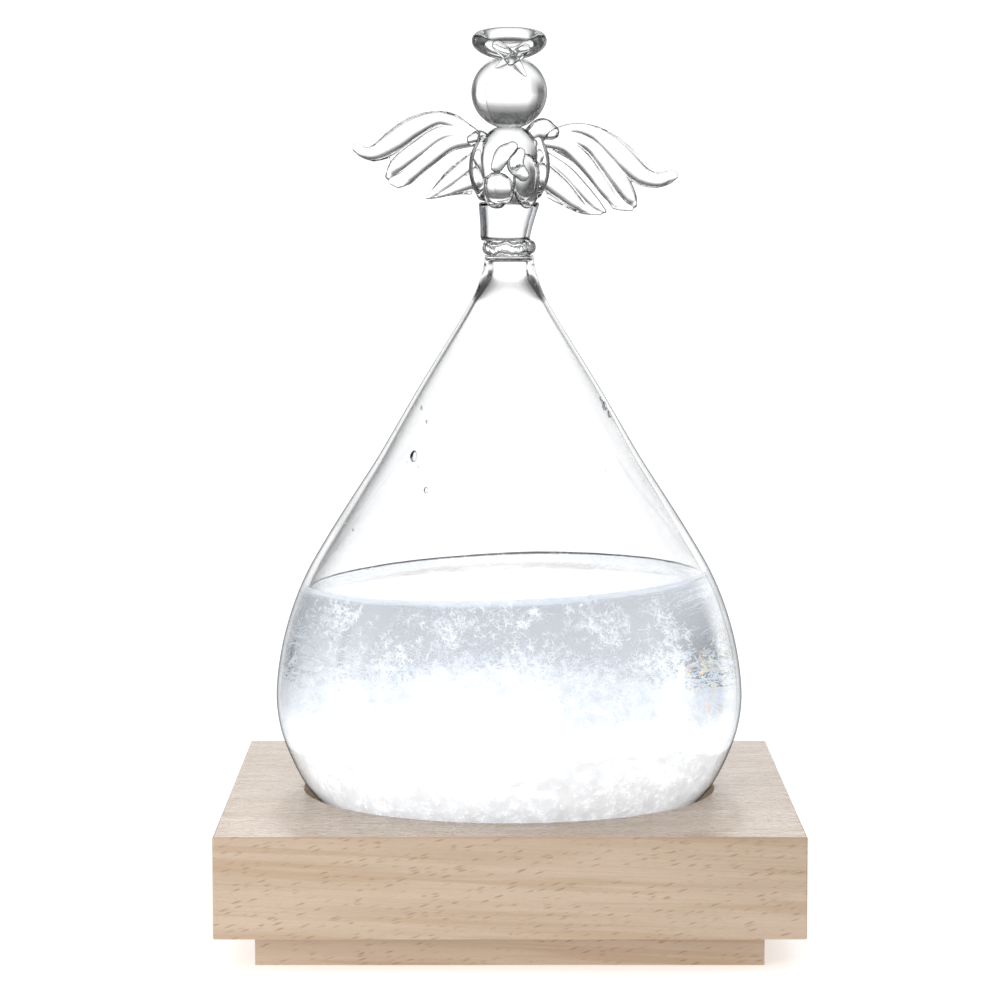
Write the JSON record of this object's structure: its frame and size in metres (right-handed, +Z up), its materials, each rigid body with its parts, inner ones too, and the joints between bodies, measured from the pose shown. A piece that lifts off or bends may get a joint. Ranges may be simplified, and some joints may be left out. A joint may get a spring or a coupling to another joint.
{
  "type": "storm glass",
  "caption": "Storm glass: a teardrop glass bulb of clouded crystal solution under a lampworked glass angel, standing loose in the round recess of a stepped square wooden base.",
  "frame": {"origin": "centre of the base's underside, on the surface it stands on", "axes": "+Z up along the bulb's axis, the angel faces -Y, +X to the right seen from the front"},
  "size_m": [0.12, 0.12, 0.192],
  "materials": {
    "beech": "planed and sanded, unvarnished",
    "clear_glass": "polished, flame worked",
    "solution": "clear liquid, slightly grey",
    "camphor": "white feathery crystals",
    "felt": "wool felt",
    "steel": "zinc plated"
  },
  "bodies": {
    "base": {"base_slab": "beech", "base_plinth": "beech", "plinth_screw_1": "steel", "plinth_screw_2": "steel", "plinth_screw_3": "steel", "plinth_screw_4": "steel"},
    "seat": {"seat_disc": "felt"},
    "glass": {"bulb": "clear_glass", "fill_plug": "clear_glass", "solution": "solution", "crystal_bed": "camphor", "neck_collar": "clear_glass", "gown": "clear_glass", "torso": "clear_glass", "head": "clear_glass", "halo_ring": "clear_glass", "halo_end_left": "clear_glass", "halo_end_right": "clear_glass", "left_arm": "clear_glass", "right_arm": "clear_glass", "left_hand": "clear_glass", "right_hand": "clear_glass", "left_upper_wing": "clear_glass", "left_lower_wing": "clear_glass", "right_upper_wing": "clear_glass", "right_lower_wing": "clear_glass", "left_wing_root": "clear_glass", "right_wing_root": "clear_glass"}
  },
  "joints": [
    {"name": "glass_turn", "type": "hinge", "parent": "base", "child": "seat", "pos_m": [0, 0, 0.016], "axis": [0, 0, 1], "continuous": true},
    {"name": "glass_lift", "type": "slide", "parent": "seat", "child": "glass", "axis": [0, 0, 1], "range_m": [0, 0.03]}
  ]
}
